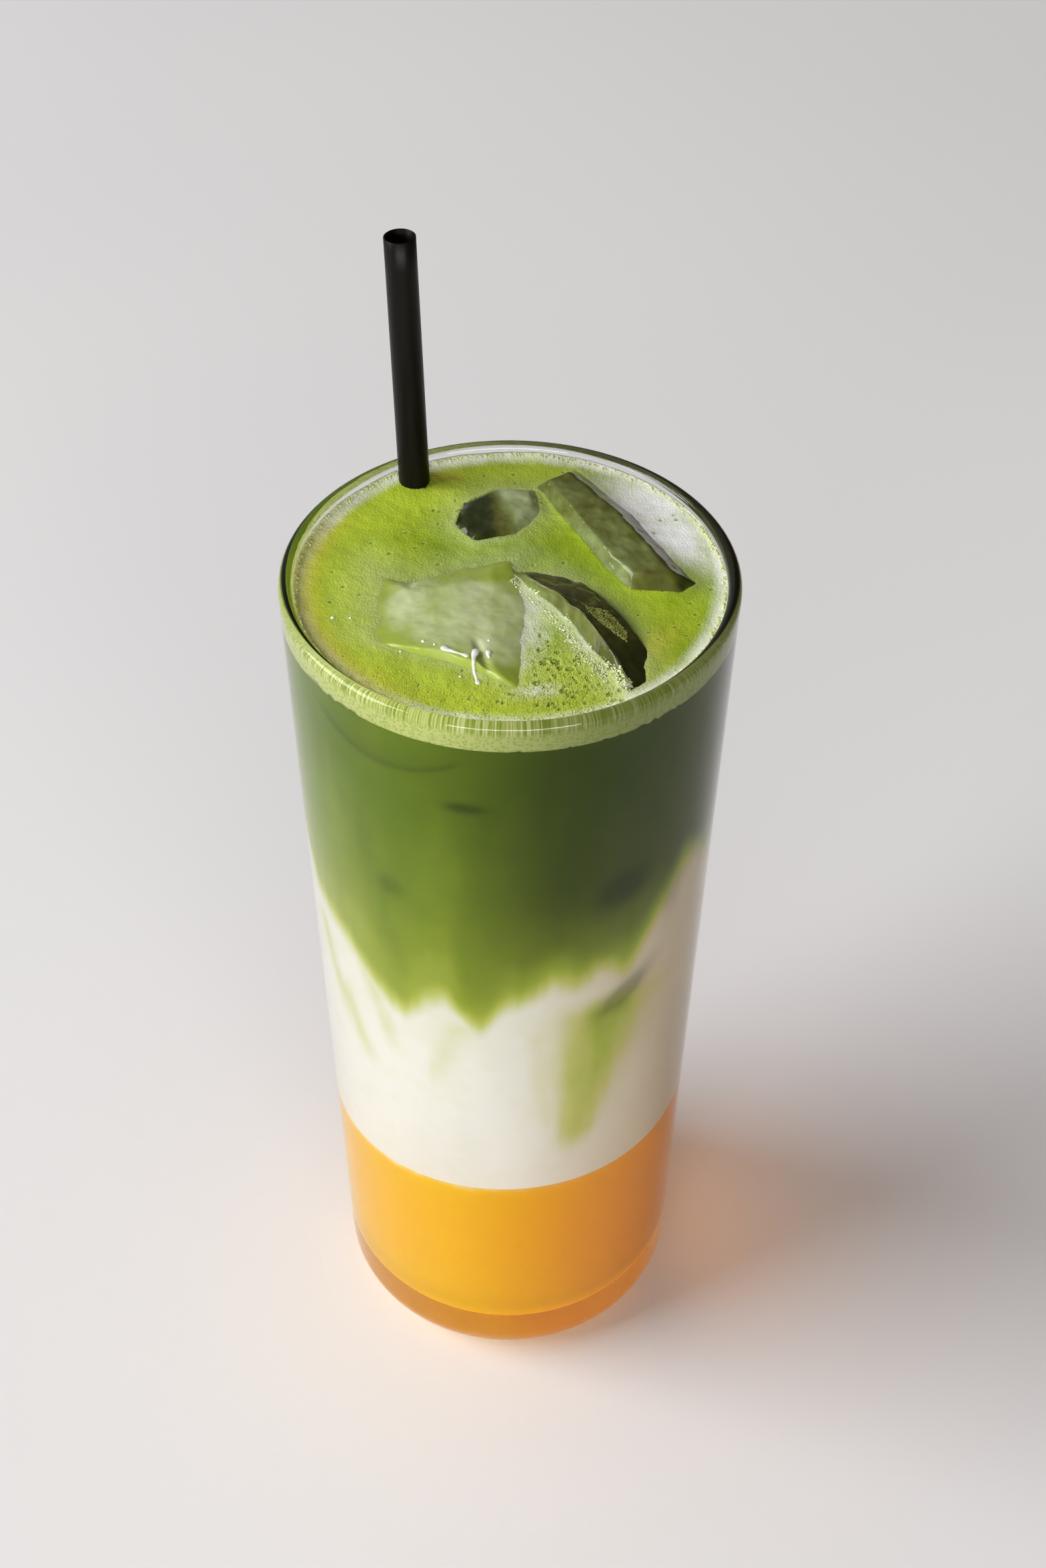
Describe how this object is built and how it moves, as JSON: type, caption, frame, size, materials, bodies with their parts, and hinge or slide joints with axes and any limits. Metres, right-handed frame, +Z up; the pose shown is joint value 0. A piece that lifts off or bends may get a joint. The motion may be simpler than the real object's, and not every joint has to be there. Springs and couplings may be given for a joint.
{
  "type": "iced matcha latte",
  "caption": "Tall tumbler of iced latte in layers of mango, milk and green tea, with foam and ice at the brim and a drinking straw.",
  "frame": {"origin": "on the glass's axis, in the plane of the flat base that it stands on", "axes": "+Z up along the glass's axis, -Y towards the side that is seen, +X to the right of it"},
  "size_m": [0.07, 0.07, 0.2036],
  "materials": {
    "glass": "clear pressed glass, fire-polished rim",
    "mango": "opaque fruit puree",
    "milk": "opaque milk",
    "matcha": "opaque green tea with milk",
    "foam": "fine wet froth",
    "straw": "satin extruded plastic",
    "ice": "wet melted ice, stained green"
  },
  "bodies": {
    "root": {"glass": "glass", "mango": "mango", "milk": "milk", "matcha": "matcha", "foam": "foam", "straw": "straw", "ice_front_left": "ice", "ice_front_right": "ice", "ice_rear_right": "ice", "ice_rear_centre": "ice"}
  },
  "joints": []
}
